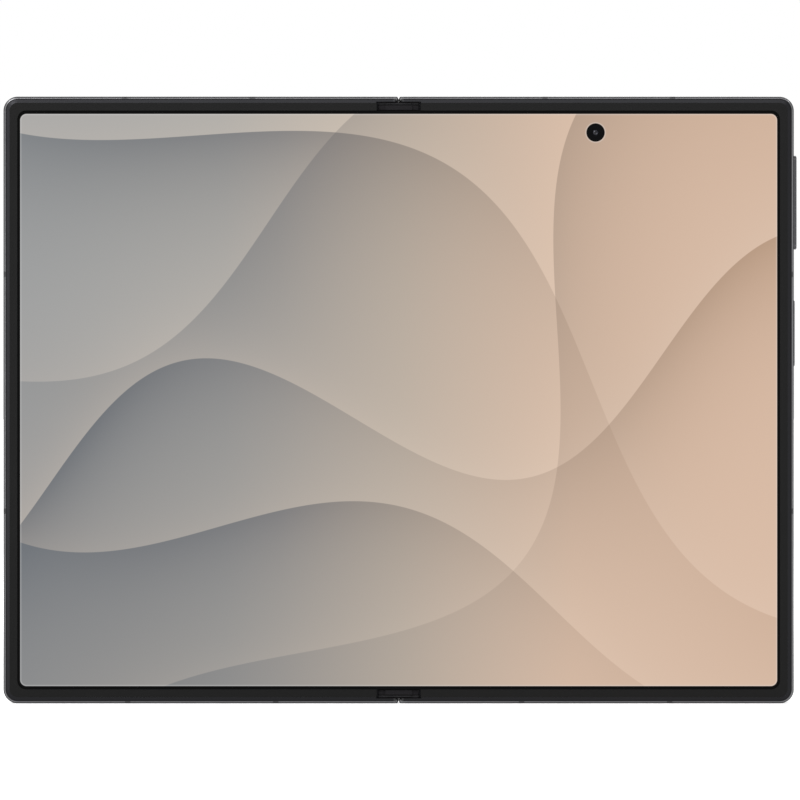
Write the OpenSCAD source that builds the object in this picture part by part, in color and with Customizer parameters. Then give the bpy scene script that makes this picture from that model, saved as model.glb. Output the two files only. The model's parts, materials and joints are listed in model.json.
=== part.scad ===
// Book-style foldable smartphone: two halves on a geared two-axis hinge.
// Everything is drawn lying on its back, x across the fold, y towards the top edge and z
// towards the viewer, and upright() then stands it on its bottom edge with the screen facing -Y.

/* [Body] */
// Width of the opened phone, without its keys
open_w = 161.4; // [160:0.1:168]
// Height of the phone
body_h = 123.9; // [123:0.1:130]
// Thickness of one half, from its back to the top of its bezel
body_t = 4.9; // [4.85:0.05:5.2]
// Plan radius of the four outer corners
corner_r = 2.9; // [2.6:0.1:4]
// Gap between the two halves along the fold line when open
fold_gap = 0.2; // [0.1:0.05:0.3]
// Gap between the two bezels when closed
closed_gap = 0.2; // [0.1:0.05:0.3]

/* [Frame] */
// Thickness of the metal side wall
wall_t = 1.5; // [1.4:0.05:1.6]
// Thickness of the side wall beside the spine
thin_wall_t = 1.05; // [1:0.05:1.15]
// Edge rounding on the back of the frame
back_round = 0.7; // [0.5:0.05:0.75]
// Edge rounding on the screen side of the frame
front_round = 0.6; // [0.4:0.05:0.7]
// How far the frame's front edge lies below the top of the bezel
lip_drop = 0.35; // [0.3:0.05:0.4]
// How far the frame's front slopes up towards the bezel
lip_rise = 0.22; // [0.1:0.02:0.26]
// Thickness of the mid plate that carries the screen
plate_t = 0.55; // [0.5:0.05:0.6]
// Rounding of the frame's corners where the halves meet
fold_round = 0.45; // [0.3:0.05:0.7]
// Distance from the top edge to the upper antenna band in each side
band_top = 36.3; // [35:0.1:37]
// Distance from the bottom edge to the lower antenna band in each side
band_bottom = 39.25; // [38:0.05:41]
// Distance of the bottom antenna bands from the middle of the charging port
band_port = 15.1; // [14:0.1:15.6]
// Distance from the card tray to the antenna band beside it
band_tray = 2.35; // [1:0.05:4]
// Distance from the fold line to the outer antenna band in the top edge
band_outer = 55.9; // [53:0.1:58]
// Width of one antenna band
band_w = 1.1; // [0.8:0.1:1.6]
// Depth of the antenna bands into the wall
band_deep = 0.5; // [0.4:0.05:0.6]

/* [Screen] */
// How far the folding screen lies below the top of the bezel
screen_drop = 0.4; // [0.35:0.05:0.5]
// Thickness of the folding screen
screen_t = 0.38; // [0.34:0.02:0.4]
// Half the width of the screen's bending strip
bend_half = 6.5; // [6.3:0.1:6.6]
// Distance from the outer edge to the edge of the screen panel
screen_inset = 2.4; // [2.3:0.05:2.5]
// Distance from the outer edge to the window in the bezel
window_inset = 2.88; // [2.8:0.02:3.2]
// Plan radius of the window's corners
window_r = 1.8; // [1.2:0.1:2.4]
// Distance from the outer edge to the outside of the bezel
bezel_inset = 1.3; // [1.2:0.05:1.35]
// Distance from the fold line to the end of each bezel
bezel_end = 4.5; // [4.4:0.1:4.8]
// Radius of the camera hole in the screen
punch_r = 1.85; // [1.6:0.05:2]
// Distance from the fold line to the inner camera
punch_x = 40.2; // [39:0.1:41]
// Distance from the top edge to the inner camera
punch_y = 7.35; // [7:0.05:8]

/* [Glass] */
// Thickness of the cover glass and of the back glass
glass_t = 0.55; // [0.45:0.05:0.6]
// Width of the frame's rim around the back glass
glass_inset = 0.8; // [0.76:0.02:0.9]
// Distance from the fold line to the edge of the back glass
glass_start = 5.6; // [5.4:0.1:5.8]
// Thickness of the cover screen behind the cover glass
cover_screen_t = 0.5; // [0.4:0.05:0.55]

/* [Hinge] */
// Outer radius of the spine about each fold axis
spine_r = 2.5; // [2.45:0.05:2.55]
// Wall of the spine
spine_wall = 0.3; // [0.26:0.01:0.34]
// Gap between the spine and the frames around it
spine_gap = 0.1; // [0.08:0.01:0.15]
// Thickness of the frame rail under the spine
rail_floor = 0.6; // [0.55:0.05:0.65]
// How far the closed frames reach past the rim of the spine
spine_cover = 0.5; // [0.4:0.05:0.55]
// Radius of the hinge pins
pin_r = 0.35; // [0.3:0.01:0.38]
// Radius of the arm knuckles around the pins
knuckle_r = 0.62; // [0.55:0.01:0.63]
// Running clearance of a pin or axle in its bore
pin_play = 0.02; // [0.01:0.01:0.05]
// Distance from the top and bottom edges to the outer hinge modules
module_y = 21.95; // [18:0.05:26]
// Length of the knuckles in an outer module
arm_w = 5; // [4:0.5:6]
// Length of the knuckles in the middle module
sync_w = 9; // [8:0.5:10]
// Thickness of a bracket's ears
ear_t = 1.2; // [0.8:0.1:1.6]
// Thickness of a hinge arm
arm_t = 0.5; // [0.4:0.05:0.55]
// Distance from the fold line to the outer end of a hinge arm
arm_end = 9.4; // [9:0.1:9.4]
// Pitch radius of the gears
gear_r = 0.8; // [0.79:0.01:0.81]
// Face width of the gears
gear_w = 3; // [2:0.5:3.5]
// Radius of the axles of the two idler gears
axle_r = 0.3; // [0.25:0.01:0.34]
// Number of disc springs in a stack
disc_count = 6; // [3:1:6]

/* [Wings] */
// Distance from the fold line to the inner edge of a wing plate
wing_start = 2.5; // [2.5:0.1:2.8]
// Distance from the fold line to the axis of a wing plate
wing_axis_x = 7.35; // [7.3:0.05:7.5]
// Thickness of a wing plate
wing_t = 0.28; // [0.2:0.01:0.3]
// Radius of the bead that a wing plate turns on
bead_r = 0.25; // [0.2:0.01:0.25]

/* [Keys] */
// Distance from the top edge to the middle of the volume key
volume_y = 21.6; // [20:0.1:23]
// Length of the volume key
volume_len = 19.2; // [17:0.1:20]
// How far the volume key stands out of the frame
volume_out = 0.6; // [0.4:0.05:0.8]
// Distance from the top edge to the middle of the power key
power_y = 48.3; // [46:0.1:50]
// Length of the power key
power_len = 13.6; // [12:0.1:15]
// How far the power key stands out of the frame
power_out = 0.22; // [0.2:0.01:0.4]
// Thickness of the keys
key_t = 1.9; // [1.6:0.1:1.9]
// How far the keys can be pressed
key_travel = 0.2; // [0.15:0.01:0.22]
// Clearance around a key in its slot
key_gap = 0.1; // [0.06:0.01:0.15]

/* [Ports] */
// Distance from the fold line to the middle of the charging port
port_x = 40.2; // [38:0.1:42]
// Inner width of the charging port
port_w = 8.34; // [8.3:0.02:8.4]
// Inner height of the charging port
port_h = 2.56; // [2.5:0.02:2.6]
// Wall of the port's shell
port_wall = 0.2; // [0.15:0.01:0.22]
// Depth of the charging port
port_deep = 8.4; // [7:0.1:9]
// Radius of a sound hole
sound_r = 0.5; // [0.3:0.05:0.6]
// Spacing of the sound holes
sound_pitch = 2; // [1.6:0.1:2.4]
// Number of holes in front of the lower loudspeaker
sound_count = 6; // [4:1:6]
// Distance from the fold line to the middle of the card tray
tray_x = 20; // [19.5:0.1:20.5]
// Width of the card tray's cover plate
tray_w = 15; // [14.6:0.1:15.2]
// Thickness of the card tray's cover plate
tray_t = 1.6; // [1.4:0.1:1.7]
// Length of the card tray
tray_len = 25; // [24:0.5:25]

/* [Cameras] */
// Distance from the outer edge to the rear cameras
rear_x = 13.2; // [12.7:0.1:13.7]
// Distance from the top edge to the upper rear camera
rear_y = 13.45; // [13:0.1:14.5]
// Distance between the two rear cameras
rear_pitch = 17; // [16.5:0.1:17.5]
// Width of the camera plateau
plateau_w = 17.2; // [16.8:0.1:17.6]
// Height of the plateau over the back glass
plateau_h = 0.9; // [0.7:0.1:1.2]
// Outer radius of a lens ring
ring_r = 6.6; // [6.3:0.1:6.8]
// Radius of the lens window inside its ring
lens_r = 5.4; // [5:0.1:5.6]
// Height of the lens rings over the plateau
ring_h = 0.55; // [0.4:0.05:0.7]
// Radius of the flash window
flash_r = 2.1; // [1.8:0.1:2.4]
// Distance from the outer edge to the flash
flash_x = 26.7; // [26.2:0.1:27.2]
// Side of a rear camera's square housing
module_w = 12; // [11:0.1:12.4]
// Radius of a rear camera's barrel
barrel_r = 3.6; // [3:0.1:4]

/* [Inside] */
// Gap around the parts inside a half
inner_gap = 0.4; // [0.3:0.05:0.5]
// Height of the two battery packs
battery_h = 58; // [54:1:60]
// Distance from the bottom edge to the battery packs
battery_y = 17; // [16.8:0.1:18]
// Thickness of the circuit boards
board_t = 0.8; // [0.6:0.05:0.9]
// Height of a shielding can on a board
can_t = 0.7; // [0.5:0.05:0.8]
// Outer radius of the charging coil
coil_r = 21; // [18:0.5:23]
// Distance from the fold line to the middle of the charging coil
coil_x = 44; // [42:0.5:46]
// Spacing of the coil's turns
coil_pitch = 1.5; // [1.4:0.05:2]
// Width of one turn of the coil
coil_wire = 1.1; // [0.8:0.05:1.2]
// Thickness of the charging coil
coil_t = 0.22; // [0.15:0.01:0.26]
// Width of the board behind the charging port
port_board_w = 22.4; // [20:0.1:24]
// Distance from the outer edge to the loudspeaker
speaker_edge = 18.2; // [16.7:0.1:18.7]
// Width of the loudspeaker's housing
speaker_w = 14; // [12:0.5:14]
// Length of the loudspeaker's housing
speaker_len = 14; // [12:0.5:14.5]
// Distance from the outer edge to the earpiece
earpiece_edge = 16.7; // [14.7:0.5:17.7]
// Width of the earpiece's housing
earpiece_w = 13; // [12:0.5:13.5]
// Length of the earpiece's housing
earpiece_len = 6.5; // [5:0.5:8]
// Distance from the fold line to the vibration motor
motor_x = 20; // [19:0.5:21]
// Width of the vibration motor
motor_w = 12; // [10:0.5:13]
// Length of the vibration motor
motor_len = 7; // [6:0.5:9]
// Length of one magnet
magnet_len = 10; // [8:0.5:11]
// Width of one magnet
magnet_w = 0.9; // [0.6:0.05:0.95]
// Radius of the small screws' heads
screw_head_r = 0.8; // [0.6:0.05:0.85]
// Radius of the small screws' shanks
screw_r = 0.4; // [0.3:0.02:0.45]

/* [Hidden] */
$fn = 48;

eps = 0.01;
far = 300;
half_w = open_w / 2;
half_h = body_h / 2;
mid_z = body_t / 2;

// Levels, measured from the back face
screen_top = body_t - screen_drop;
screen_bottom = screen_top - screen_t;
glue = 0.02;
plate_top = screen_bottom - glue;
plate_bottom = plate_top - plate_t;
lip_z = body_t - lip_drop;
seat_z = glass_t + glue + eps;
bezel_over = 0.05;
glass_gap = 0.03;

strip_half = half_h - window_inset + 0.03;

// The two fold axes stand at x = -pivot_x and x = pivot_x, at the height pivot_z
spine_floor = rail_floor + spine_gap;
pivot_z = spine_floor + spine_r;
pivot_x = body_t + closed_gap / 2 - pivot_z;
spine_in = spine_floor + spine_wall;
fold_edge = fold_gap / 2;
rail_end_closed = pivot_z + fold_edge - pivot_x;
spine_rim = rail_end_closed + spine_cover;
spine_half = half_h - thin_wall_t - 0.1;
cavity_r = spine_r + spine_gap;
rib_top = rail_end_closed + spine_gap;

// The arms pass over the rib of the frame and over notches in the spine's rim
arm_bottom = rib_top + 0.05;
arm_top = arm_bottom + arm_t;
arm_gap = 0.12;
neck_x = pivot_x + 1;
module_places = [half_h - module_y, module_y - half_h];
ear_r = 0.55;
bracket_floor = 0.45;
screw_start = 0.08;
foot_screw_z = seat_z + 0.2;
flange = 2.4;
spring_w = 2;

// Gear train: one sector on each sync arm and two idlers between them
gear_teeth = 12;
tooth_out = 0.09;
tooth_in = 0.14;
idler_x = gear_r;
idler_z = pivot_z - sqrt(pow(2 * gear_r, 2) - pow(pivot_x - idler_x, 2));
contact = atan2(pivot_z - idler_z, pivot_x - idler_x);
tooth_step = 360 / gear_teeth;
idler_phase_left = 0;
idler_phase_right = tooth_step / 2;

// Wing plates
wing_axis_z = plate_bottom + plate_t / 2;
wing_neck_t = 0.2;
bead_play = 0.03;
wing_half = half_h - window_inset - 0.2;

// Room inside a half
block_end = arm_end + 0.4;
cell_x0 = block_end + inner_gap;
cell_x1 = half_w - wall_t - inner_gap;
cell_y = half_h - wall_t - inner_gap;
cell_z0 = seat_z + 0.07;
cell_z1 = plate_bottom - 0.12;

// Keys, ports and tray
key_z = mid_z;
key_deep = 1.2;
switch_t = 0.2;
port_z = seat_z + 0.14 + port_wall + port_h / 2;
port_back = 0.4;
tongue_w = 6.6;
tongue_t = 0.7;
tray_z = 2.8;
carrier_t = 0.75;
carrier_w = 13.2;
cage_t = 0.1;
mic_r = 0.35;
mic_x = 30;

// Middles of the loudspeaker and the earpiece
speaker_x = half_w - speaker_edge;
earpiece_x = half_w - earpiece_edge;

// Middles of the cameras and the flash
lens_x = half_w - rear_x;
light_x = half_w - flash_x;
upper_y = half_h - rear_y;
lower_y = upper_y - rear_pitch;
inner_y = half_h - punch_y;
plateau_r = plateau_w / 2;
lens_glass_t = 0.35;
module_floor = glass_t + 0.1;

// Antenna bands, as distances from the fold line or from the middle of the phone
top_bands = [tray_x + tray_w / 2 + band_tray, band_outer];
bottom_bands = [port_x - band_port, port_x + band_port];
side_bands = [half_h - band_top, band_bottom - half_h];

// Batteries and boards
left_z0 = seat_z + cover_screen_t + 0.1;
battery_y0 = battery_y - half_h;
battery_y1 = battery_y0 + battery_h;
board_y0 = battery_y1 + 1;
board_z0 = 1.55;
board_x1 = lens_x - module_w / 2 - 5.8;

// ---- Helpers ----

module upright() translate([0, mid_z, half_h]) rotate([90, 0, 0]) children();
module left_side() mirror([1, 0, 0]) children();

// A box given by its lowest and highest corners
module block(lo, hi) translate(lo) cube([hi[0] - lo[0], hi[1] - lo[1], hi[2] - lo[2]]);

// A drawing in the x-z plane, drawn out from y0 to y1
module along_y(y0, y1) translate([0, y1, 0]) rotate([90, 0, 0]) linear_extrude(y1 - y0) children();

// A cylinder along y with its axis at x and z
module rod(x, z, r, y0, y1) translate([x, y1, z]) rotate([90, 0, 0]) cylinder(h = y1 - y0, r = r);

// A disc or ring standing on its back
module disc(x, y, r, z0, z1) translate([x, y, z0]) cylinder(h = z1 - z0, r = r);

function arc(c, r, a0, a1, n) =
    [for (i = [0:n]) [c[0] + r * cos(a0 + (a1 - a0) * i / n), c[1] + r * sin(a0 + (a1 - a0) * i / n)]];

// Half of a rounded rectangle: square at x0, rounded at its outer corners
module half_plan(x0, inset, r) {
    x1 = half_w - inset;
    y1 = half_h - inset;
    union() {
        translate([x0, -y1]) square([x1 - r - x0, 2 * y1]);
        translate([x0, -y1 + r]) square([x1 - x0, 2 * y1 - 2 * r]);
        for (s = [-1, 1]) translate([x1 - r, s * (y1 - r)]) circle(r);
    }
}

// A flat bar with round ends, centred on the origin, its length along x
module bar_plan(len, wide) {
    square([len - wide, wide], center = true);
    for (s = [-1, 1]) translate([s * (len - wide) / 2, 0]) circle(wide / 2);
}

// ---- Frames ----

// Section of the side wall: across, the distance inwards from its outer face; up, the height
back_chamfer = 0.25;
module wall_section() {
    polygon([[0, back_round], [back_round, 0], [glass_inset, 0], [glass_inset, seat_z], [wall_t, seat_z],
        [wall_t, plate_top], [bezel_inset, plate_top], [bezel_inset, lip_z + lip_rise],
        [front_round, lip_z], [0, lip_z - front_round]]);
    intersection() {
        translate([back_round, back_round]) circle(back_round);
        square(back_round + eps);
    }
    translate([front_round, lip_z - front_round]) circle(front_round);
}

module side_walls() {
    straight = half_w - corner_r;
    for (s = [-1, 1]) mirror([0, s < 0 ? 1 : 0, 0]) {
        translate([fold_edge, 0, 0]) rotate([90, 0, 90]) linear_extrude(straight - fold_edge)
            translate([half_h, 0]) mirror([1, 0]) wall_section();
        translate([straight, half_h - corner_r, 0]) rotate_extrude(angle = 90)
            translate([corner_r, 0]) mirror([1, 0]) wall_section();
    }
    along_y(-half_h + corner_r, half_h - corner_r) translate([half_w, 0]) mirror([1, 0]) wall_section();
}

// Rail along the fold that holds the spine, and the block behind it that holds the arms
module fold_rail() {
    y1 = half_h - wall_t + eps;
    along_y(-y1, y1) polygon([[fold_edge, 0], [glass_start, 0], [glass_start, seat_z],
        [block_end, seat_z], [block_end, plate_top], [wing_axis_x, plate_top],
        [wing_axis_x, plate_bottom - 0.3], [glass_start, arm_top + 0.4],
        [glass_start - 0.5, rib_top], [fold_edge, rib_top]]);
}

module spine_room() {
    y1 = half_h - thin_wall_t;
    along_y(-y1, y1) {
        translate([pivot_x, pivot_z]) circle(cavity_r);
        translate([-eps, rail_floor]) square([pivot_x + eps, far]);
        translate([-eps, rib_top]) square([bezel_end + 0.1 + eps, far]);
    }
}

// Pockets that hold the arms' feet, open towards the screen
module arm_pockets() {
    for (y = module_places) arm_pocket(y, arm_w);
    arm_pocket(0, sync_w);
}
module arm_pocket(y, wide)
    block([pivot_x, y - wide / 2 - arm_gap, arm_bottom], [arm_end + arm_gap, y + wide / 2 + arm_gap, far]);

module foot_screw_places() {
    for (y = module_places) for (s = [-1, 1]) translate([arm_end - 1.1, y + s * arm_w / 4, 0]) children();
    for (s = [-1, 1]) translate([arm_end - 1.1, s * sync_w / 4, 0]) children();
}

// Slots for the antenna bands, as boxes that reach through the outer face
module band_slots() {
    for (x = top_bands) translate([x, half_h, 0]) band_box(0);
    for (x = bottom_bands) translate([x, -half_h, 0]) band_box(0);
    for (y = side_bands) translate([half_w, y, 0]) band_box(90);
}
module band_box(turn) rotate([0, 0, turn])
    translate([-band_w / 2, -band_deep, -1]) cube([band_w, 2 * band_deep, body_t + 2]);

// What both frames share, drawn for the right side
module half_frame() difference() {
    union() {
        side_walls();
        fold_rail();
        block([wing_axis_x, -half_h + wall_t - eps, plate_bottom],
              [half_w - wall_t + eps, half_h - wall_t + eps, plate_top]);
    }
    spine_room();
    rod(wing_axis_x, wing_axis_z, bead_r + bead_play, -wing_half - 0.1, wing_half + 0.1);
    arm_pockets();
    foot_screw_places() translate([0, 0, foot_screw_z]) cylinder(h = far, r = screw_r);
    band_slots();
    flex_slot();
    for (s = [-1, 1]) translate([fold_edge, s * half_h, 0]) fold_corner(s);
    along_y(-half_h - 1, half_h + 1) fold_relief();
}

// Rounds the frame about the fold axis, so that the halves pass each other as they close
module fold_relief() {
    difference() {
        translate([-eps, pivot_z]) square([pivot_x + eps, far]);
        translate([pivot_x, pivot_z]) circle(pivot_x - fold_edge);
    }
    polygon([[-eps, -eps], [fold_edge + back_chamfer, -eps],
             [fold_edge, back_chamfer], [-eps, back_chamfer]]);
}

// Takes the sharp corner off the wall's end at the fold
module fold_corner(s) difference() {
    translate([-eps, -fold_round, -1]) cube([fold_round + eps, 2 * fold_round, body_t + 2]);
    translate([fold_round, -s * fold_round, -2]) cylinder(h = body_t + 4, r = fold_round);
}

module band_inlays() intersection() {
    side_walls();
    band_slots();
}

// The flexible circuit fills the room between two posts of the centre plate
post_t = 1;
post_len = 2.4;
post_places = [13.1, module_places[0] - 11, wing_half - 6.4];
flex_y0 = post_places[0] + post_len / 2 + 0.7;
flex_y1 = post_places[1] - post_len / 2 - 0.8;
flex_z = spine_rim + 0.06;
flex_t = 0.12;
flex_end = block_end + 0.3;
module flex_slot()
    block([pivot_x, flex_y0 - 0.5, flex_z - 0.2], [block_end + 1, flex_y1 + 0.5, flex_z + 0.6]);

module key_slot(y, len) translate([half_w, y, key_z]) rotate([90, 0, 90])
    translate([0, 0, -wall_t - 1]) linear_extrude(wall_t + 2)
        bar_plan(len + 2 * key_gap, key_t + 2 * key_gap);

// Row of sound holes through the top or bottom wall
module sound_row(x, count, side) for (i = [0:count - 1])
    rod(x + (i - (count - 1) / 2) * sound_pitch, mid_z, sound_r,
        side > 0 ? half_h - wall_t - 1 : -half_h - 1, side > 0 ? half_h + 1 : -half_h + wall_t + 1);

module right_frame() color("dimgray") upright() difference() {
    half_frame();
    key_slot(half_h - volume_y, volume_len);
    key_slot(half_h - power_y, power_len);
    port_outline(-half_h - 1, -half_h + port_deep + 1, port_wall + 0.02);
    block([tray_x - tray_w / 2 - 0.05, half_h - wall_t - 1, tray_z - tray_t / 2 - 0.05],
          [tray_x + tray_w / 2 + 0.05, half_h + 1, tray_z + tray_t / 2 + 0.05]);
    sound_row(speaker_x, sound_count, -1);
    rod(mic_x, mid_z, mic_r, -half_h - 1, -half_h + wall_t + 1);
    rod(lens_x - 18, mid_z, mic_r, half_h - wall_t - 1, half_h + 1);
    disc(punch_x, inner_y, punch_r + 0.75, plate_bottom - 1, far);
}

module left_frame() color("dimgray") upright() left_side() difference() {
    half_frame();
    sound_row(earpiece_x, sound_count - 1, 1);
    rod(mic_x, mid_z, mic_r, -half_h - 1, -half_h + wall_t + 1);
}

module right_antenna_bands() color("black") upright() band_inlays();
module left_antenna_bands() color("black") upright() left_side() band_inlays();

// Raised trim around the screen: a foot outside the screen's edge and a lip over it
module bezel() difference() {
    union() {
        translate([0, 0, plate_top]) linear_extrude(body_t - plate_top) difference() {
            half_plan(bezel_end, bezel_inset + eps, corner_r - bezel_inset);
            half_plan(-1, screen_inset - 0.05, window_r);
        }
        lip_bottom = screen_top + bezel_over;
        translate([0, 0, lip_bottom]) linear_extrude(body_t - lip_bottom) difference() {
            half_plan(bezel_end, bezel_inset + eps, corner_r - bezel_inset);
            half_plan(-1, window_inset, window_r);
        }
    }
}
module right_bezel() color("#252526") upright() bezel();
module left_bezel() color("#252526") upright() left_side() bezel();

// ---- Folding screen ----

module screen_panel() translate([0, 0, screen_bottom]) linear_extrude(screen_t)
    half_plan(bend_half, screen_inset, window_r);
module right_screen_panel() color("tan") upright() difference() {
    screen_panel();
    disc(punch_x, inner_y, punch_r, 0, far);
}
module left_screen_panel() color("darkgray") upright() left_side() screen_panel();
module folding_screen_strip() color("silver") upright()
    block([-bend_half, -strip_half, screen_bottom], [bend_half, strip_half, screen_top]);

// ---- Spine ----

module spine_outline(r) {
    for (s = [-1, 1]) translate([s * pivot_x, pivot_z]) circle(r);
    translate([-pivot_x, pivot_z - r]) square([2 * pivot_x, r]);
}

module spine_channel() difference() {
    along_y(-spine_half, spine_half) difference() {
        intersection() {
            spine_outline(spine_r);
            translate([-far / 2, 0]) square([far, spine_rim]);
        }
        spine_outline(spine_r - spine_wall);
    }
    for (y = module_places) rim_notch(y, arm_w);
    rim_notch(0, sync_w);
    bracket_screw_places() translate([0, 0, spine_floor + screw_start]) cylinder(h = far, r = screw_r);
}
module rim_notch(y, wide)
    block([-far / 2, y - wide / 2 - arm_gap, arm_bottom - 0.05], [far / 2, y + wide / 2 + arm_gap, far]);

module spine_cover() color("#3a3a3c") upright() spine_channel();

// Plug in each end of the spine, whose top shows between the ends of the two bezels. A thin
// seal on it closes the gap between the ends of the frames.
cap_half = 2.75;
cap_plate = 1.05;
cap_shoulder = 4.1;
cap_shoulder_z = pivot_z + 0.8;
cap_top = screen_top - 0.2;
cap_inner = strip_half + 0.1;
cap_groove = 0.1;
cap_ledge = 0.22;
seal_t = fold_gap - 0.02;
module end_cap() {
    along_y(cap_inner, spine_half) intersection() {
        spine_outline(spine_r - spine_wall - eps);
        translate([-far / 2, 0]) square([far, pivot_z]);
    }
    along_y(cap_inner, spine_half) intersection() {
        spine_outline(spine_r - 0.1);
        translate([-cap_shoulder, spine_rim]) square([2 * cap_shoulder, cap_shoulder_z - spine_rim]);
    }
    block([-cap_half, cap_inner, pivot_z], [cap_half, cap_inner + cap_plate, cap_top]);
    ledge_y = cap_inner + cap_plate + cap_groove;
    block([-cap_half + 0.15, ledge_y, pivot_z], [cap_half - 0.15, ledge_y + cap_ledge, cap_top - 0.1]);
    block([-seal_t / 2, spine_half - eps, spine_in], [seal_t / 2, half_h - fold_round - 0.05, lip_z - 0.1]);
}
module spine_end_cap_top() color("#232325") upright() end_cap();
module spine_end_cap_bottom() color("#232325") upright() mirror([0, 1, 0]) end_cap();

// ---- Hinge modules ----

// Ears that hold the pins on both sides of the knuckles, on a floor screwed to the spine
module ear_section() {
    for (s = [-1, 1]) translate([s * pivot_x, pivot_z]) circle(ear_r);
    translate([-pivot_x - ear_r, spine_in + eps]) square([2 * pivot_x + 2 * ear_r, pivot_z - spine_in]);
}
module ear(y0) intersection() {
    along_y(y0, y0 + ear_t) ear_section();
    along_y(y0 - 1, y0 + ear_t + 1) spine_outline_inner_or_above();
}
module spine_outline_inner_or_above() {
    spine_outline(spine_r - spine_wall - eps);
    translate([-far / 2, pivot_z - 0.1]) square([far, far]);
}

module hinge_bracket(y, wide) difference() {
    union() {
        for (s = [-1, 1]) translate([0, y + s * (wide / 2 + arm_gap + ear_t / 2) - ear_t / 2, 0]) ear(0);
        translate([0, spring_ear_y(y, wide), 0]) ear(0);
        intersection() {
            block([-pivot_x - ear_r, y - wide / 2 - arm_gap - ear_t - flange, spine_in + eps],
                  [pivot_x + ear_r, spring_ear_y(y, wide) + ear_t + flange, spine_in + bracket_floor]);
            along_y(-half_h, half_h) spine_outline(spine_r - spine_wall - eps);
        }
    }
    for (s = [-1, 1]) rod(s * pivot_x, pivot_z, pin_r, -half_h, half_h);
    bracket_screw_places() translate([0, 0, spine_in - 1]) cylinder(h = far, r = screw_r);
}
function spring_ear_y(y, wide) = y + wide / 2 + arm_gap + ear_t + spring_w;

module bracket_screw_pair(y, wide) {
    translate([0, y - wide / 2 - arm_gap - ear_t - flange / 2, 0]) children();
    translate([0, spring_ear_y(y, wide) + ear_t + flange / 2, 0]) children();
}
module bracket_screw_places() {
    for (y = module_places) bracket_screw_pair(y, arm_w) children();
    bracket_screw_pair(0, sync_w) children();
}

module hinge_bracket_top() color("silver") upright() hinge_bracket(module_places[0], arm_w);
module hinge_bracket_bottom() color("silver") upright() hinge_bracket(module_places[1], arm_w);
module hinge_bracket_middle() color("silver") upright() difference() {
    hinge_bracket(0, sync_w);
    gear_room = idler_x + gear_r + 0.2;
    block([-gear_room, -gear_w / 2 - 0.1, spine_in], [gear_room, gear_w / 2 + 0.1, pivot_z]);
    for (s = [-1, 1]) rod(s * idler_x, idler_z, axle_r, -half_h, half_h);
}

// Screw along z from z0 to the underside of its head, with a hexagonal socket in the head
screw_head_t = 0.4;
module screw(z0, z1) {
    translate([0, 0, z0]) cylinder(h = z1 - z0, r = screw_r);
    difference() {
        translate([0, 0, z1]) cylinder(h = screw_head_t, r = screw_head_r);
        translate([0, 0, z1 + screw_head_t / 2]) cylinder(h = 1, r = screw_head_r / 2, $fn = 6);
    }
}
module hinge_bracket_screws() color("darkgray") upright() bracket_screw_places()
    screw(spine_floor + screw_start, spine_in + bracket_floor);

module pin_pair(y, wide) for (s = [-1, 1])
    rod(s * pivot_x, pivot_z, pin_r, y - wide / 2 - arm_gap - ear_t, spring_ear_y(y, wide) + ear_t);
module hinge_pins() color("gainsboro") upright() {
    for (y = module_places) pin_pair(y, arm_w);
    pin_pair(0, sync_w);
    axle_half = sync_w / 2 + arm_gap + ear_t;
    for (s = [-1, 1]) rod(s * idler_x, idler_z, axle_r, -axle_half, axle_half);
}

// Stacks of disc springs that give the hinge its friction
module disc_stack(y, wide) {
    step = spring_w / disc_count;
    for (s = [-1, 1]) for (i = [0:disc_count - 1]) difference() {
        y0 = spring_ear_y(y, wide) - spring_w + (i + 0.1) * step;
        rod(s * pivot_x, pivot_z, i % 2 == 0 ? ear_r : ear_r - 0.08, y0, y0 + step * 0.8);
        rod(s * pivot_x, pivot_z, pin_r + eps, -half_h, half_h);
    }
}
module hinge_disc_springs() color("goldenrod") upright() {
    for (y = module_places) disc_stack(y, arm_w);
    disc_stack(0, sync_w);
}

// Narrow plate under the middle of the screen, on posts between the modules
plate_half = 2.1;
centre_top = plate_top - 0.08;
centre_bottom = pivot_z + knuckle_r + 0.04;
module hinge_centre_plate() color("lightgray") upright() {
    difference() {
        block([-plate_half, -wing_half, centre_bottom], [plate_half, wing_half, centre_top]);
        block([-plate_half - 1, -gear_w / 2 - 0.2, 0], [plate_half + 1, gear_w / 2 + 0.2, far]);
    }
    for (s = [-1, 1]) for (y = post_places)
        block([-post_t / 2, s * y - post_len / 2, spine_in + eps],
              [post_t / 2, s * y + post_len / 2, centre_bottom + eps]);
}

// A gear in the x-z plane, its first tooth at the angle phase
module gear_plan(phase) {
    profile = [[gear_r - tooth_in, -9], [gear_r, -6.3], [gear_r + tooth_out, -3.2],
               [gear_r + tooth_out, 3.2], [gear_r, 6.3], [gear_r - tooth_in, 9]];
    polygon([for (k = [0:gear_teeth - 1]) for (p = profile)
        p[0] * [cos(phase + k * tooth_step + p[1]), sin(phase + k * tooth_step + p[1])]]);
}
module idler(side, phase) difference() {
    along_y(-gear_w / 2, gear_w / 2) translate([side * idler_x, idler_z]) gear_plan(phase);
    rod(side * idler_x, idler_z, axle_r + pin_play, -gear_w, gear_w);
}
module idler_gear_left() color("gold") upright() idler(-1, idler_phase_left);
module idler_gear_right() color("gold") upright() idler(1, idler_phase_right);

// The toothed part of a sync arm, drawn for the right side, over its quarter turn
module gear_sector(phase) {
    from = contact + 90 - tooth_step / 2;
    reach = 2 * gear_r;
    along_y(-gear_w / 2, gear_w / 2) translate([pivot_x, pivot_z]) intersection() {
        gear_plan(phase);
        polygon(concat([[0, 0]], arc([0, 0], reach, from, from + 90 + tooth_step, 12)));
    }
}

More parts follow.
